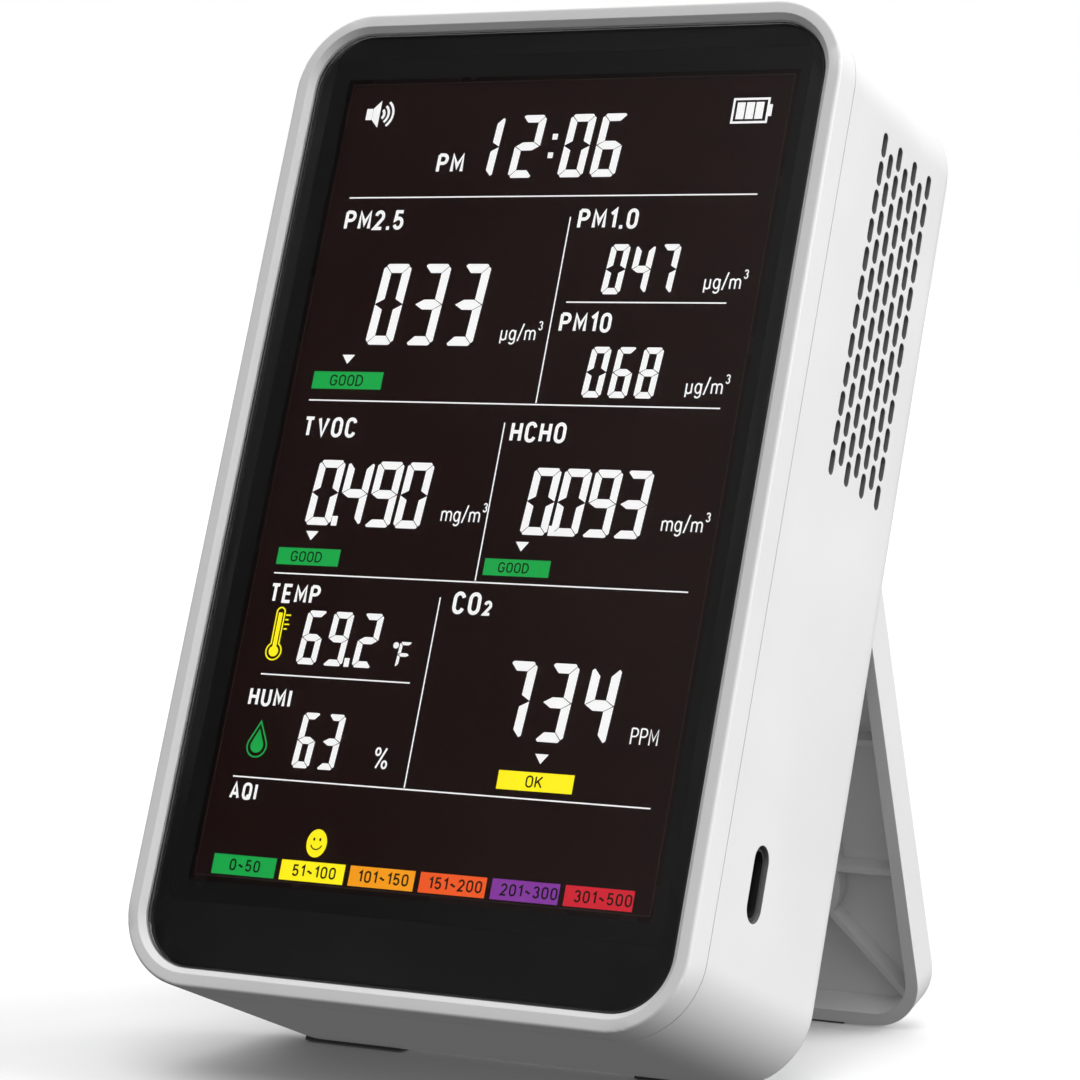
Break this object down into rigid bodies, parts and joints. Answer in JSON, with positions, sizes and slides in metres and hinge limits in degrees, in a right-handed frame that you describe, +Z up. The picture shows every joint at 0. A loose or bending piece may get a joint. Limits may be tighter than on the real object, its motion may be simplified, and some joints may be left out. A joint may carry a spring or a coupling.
{
  "type": "air quality monitor",
  "caption": "Desktop air quality monitor with a tall display behind flat glass, side vents, a side charging socket and a folding kickstand.",
  "frame": {"origin": "centre of the object's box at the level that it stands on", "axes": "+Z up, the display faces -Y and leans back, +X to the viewer's right, which is the side with the charging socket"},
  "size_m": [0.081, 0.0842, 0.1372],
  "materials": {
    "white_casing": "fine matte moulded ABS",
    "cover_glass": "polished cover glass with a black printed border",
    "black_tape": "black adhesive foam",
    "grey_filter": "fine woven dust mesh",
    "grey_rubber": "soft matte rubber",
    "steel": "plated steel",
    "lcd_black": "dark polarised segment glass",
    "light_guide": "clear acrylic",
    "white_inner_plastic": "plain moulded plastic",
    "pin_metal": "tinned pins",
    "green_board": "solder mask on glass-fibre board",
    "chip_black": "moulded package",
    "battery_film": "pouch foil",
    "lead_red": "wire insulation",
    "sensor_black": "black moulded plastic",
    "brass": "gold-plated metal",
    "fan_plastic": "black moulded plastic",
    "foam": "soft foam",
    "cell_white": "white moulded plastic",
    "ribbon_film": "amber film",
    "button_plastic": "fine matte moulded plastic"
  },
  "bodies": {
    "monitor": {"front_cover": "white_casing", "display_window": "cover_glass", "window_adhesive": "black_tape", "rear_case": "white_casing", "case_screws": "steel", "right_dust_filter": "grey_filter", "left_dust_filter": "grey_filter", "base_foot_pads": "grey_rubber", "hinge_pins": "steel", "hinge_friction_washers": "steel", "lcd_panel": "lcd_black", "lcd_light_guide": "light_guide", "lcd_frame": "white_inner_plastic", "lcd_pins": "pin_metal", "main_board": "green_board", "main_board_screws": "steel", "board_chips": "chip_black", "battery_pack": "battery_film", "battery_tape": "black_tape", "battery_connector": "white_inner_plastic", "battery_leads": "lead_red", "usb_c_shell": "steel", "usb_c_tongue": "chip_black", "particle_sensor_case": "sensor_black", "particle_sensor_cover": "steel", "laser_diode": "brass", "scatter_detector": "green_board", "fan_frame": "sensor_black", "fan_bearing": "brass", "fan_gasket": "foam", "co2_sensor": "brass", "formaldehyde_cell": "cell_white", "voc_sensor": "chip_black", "climate_sensor": "chip_black", "buzzer": "chip_black", "button_board": "green_board", "button_board_screws": "steel", "button_switches": "chip_black", "button_ribbon": "ribbon_film"},
    "kickstand": {"kickstand": "white_casing", "kickstand_foot_strip": "grey_rubber"},
    "fan": {"fan_rotor": "fan_plastic", "fan_shaft": "steel"},
    "power_button_body": {"power_button": "button_plastic"},
    "set_button_body": {"set_button": "button_plastic"},
    "minus_button_body": {"minus_button": "button_plastic"},
    "plus_button_body": {"plus_button": "button_plastic"}
  },
  "joints": [
    {"name": "kickstand_hinge", "type": "hinge", "parent": "monitor", "child": "kickstand", "pos_m": [0, 0.01745, 0.06622], "axis": [1, 0, 0], "range_deg": [-39, 0]},
    {"name": "fan_spin", "type": "hinge", "parent": "monitor", "child": "fan", "pos_m": [0.037, 0.0196, 0.10147], "axis": [1, 0, 0], "continuous": true},
    {"name": "power_press", "type": "slide", "parent": "monitor", "child": "power_button_body", "axis": [0, -0.9307, 0.3657], "range_m": [0, 0.0004], "stiffness_N_per_m": 900, "springref_m": -0.0006},
    {"name": "set_press", "type": "slide", "parent": "monitor", "child": "set_button_body", "axis": [0, -0.9307, 0.3657], "range_m": [0, 0.0004], "stiffness_N_per_m": 900, "springref_m": -0.0006},
    {"name": "minus_press", "type": "slide", "parent": "monitor", "child": "minus_button_body", "axis": [0, -0.9307, 0.3657], "range_m": [0, 0.0004], "stiffness_N_per_m": 900, "springref_m": -0.0006},
    {"name": "plus_press", "type": "slide", "parent": "monitor", "child": "plus_button_body", "axis": [0, -0.9307, 0.3657], "range_m": [0, 0.0004], "stiffness_N_per_m": 900, "springref_m": -0.0006}
  ]
}
